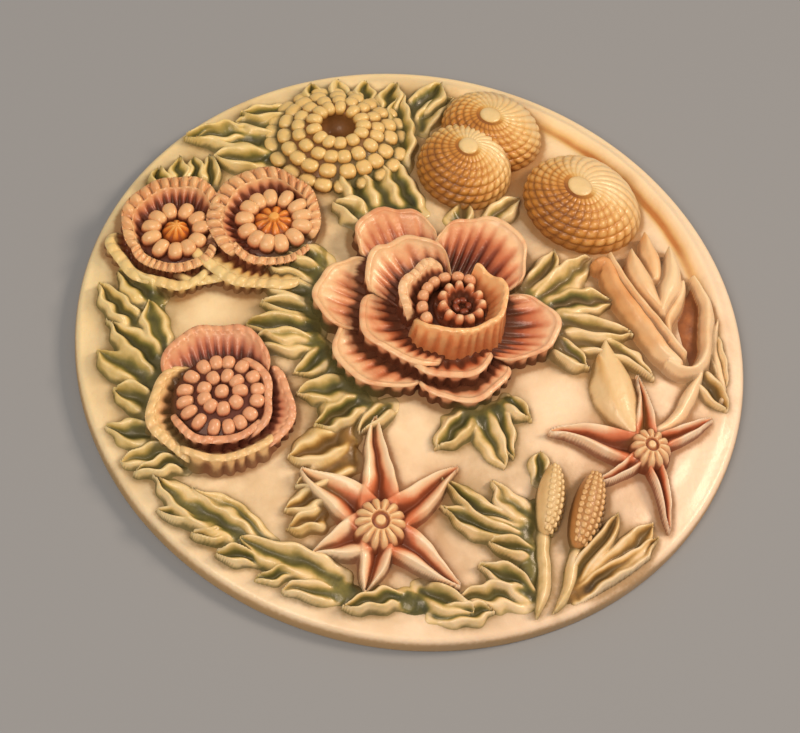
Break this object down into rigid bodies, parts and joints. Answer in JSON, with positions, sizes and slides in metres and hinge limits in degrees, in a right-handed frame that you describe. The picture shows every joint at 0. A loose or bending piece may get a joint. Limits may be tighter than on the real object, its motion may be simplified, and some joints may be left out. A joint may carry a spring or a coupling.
{
  "type": "decorative wall plaque",
  "caption": "Round domed wall plaque with a plain edge band and a bed of flowers and leaves in high relief; flat back.",
  "frame": {"origin": "centre of the flat back", "axes": "+Z out of the carved face, +Y towards the top of the plaque as it hangs, +X to its right"},
  "size_m": [0.08, 0.08, 0.0127],
  "materials": {
    "tinted_resin": "cream casting resin with brown, green and pink washes rubbed into the relief, glossy lacquer"
  },
  "bodies": {
    "root": {"plaque": "tinted_resin"}
  },
  "joints": []
}
